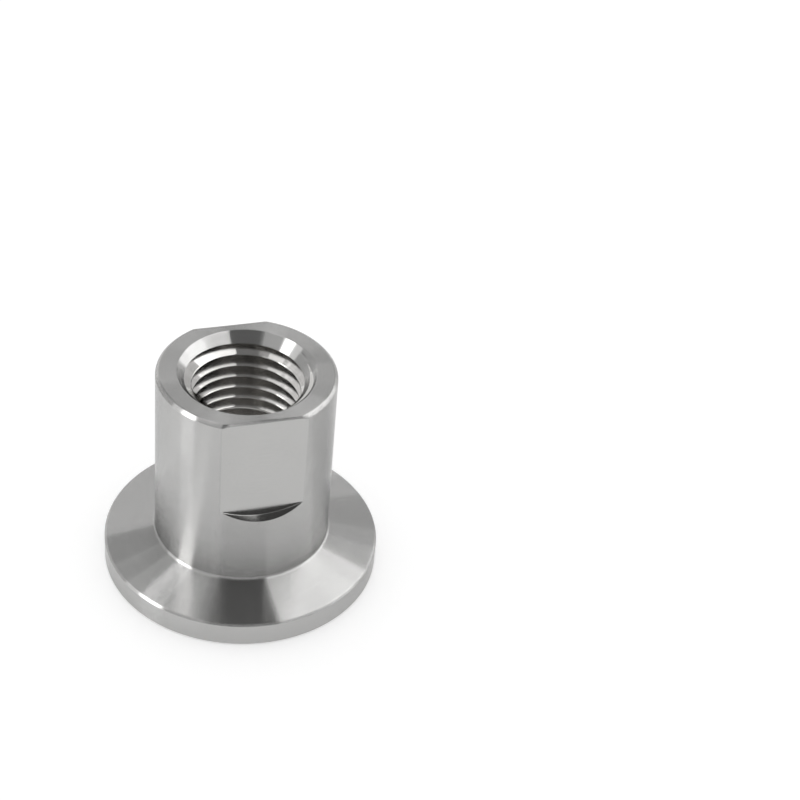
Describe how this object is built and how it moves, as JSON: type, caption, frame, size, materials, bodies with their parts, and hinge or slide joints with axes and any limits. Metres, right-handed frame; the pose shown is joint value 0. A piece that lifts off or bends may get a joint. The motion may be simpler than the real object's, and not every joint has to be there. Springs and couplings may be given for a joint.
{
  "type": "threaded flange adapter",
  "caption": "Small round vacuum flange with a sloped back and a ring seat in its face, on a short tube with wrench flats and a female taper pipe thread in its end.",
  "frame": {"origin": "centre of the sealing face, in the middle of the flange's underside", "axes": "+Z along the turning axis from the sealing face to the threaded end; the wrench flats face +Y and -Y"},
  "size_m": [0.03, 0.03, 0.025],
  "materials": {
    "steel": "fine-turned stainless steel with milled wrench flats"
  },
  "bodies": {
    "root": {"adapter_body": "steel"}
  },
  "joints": []
}
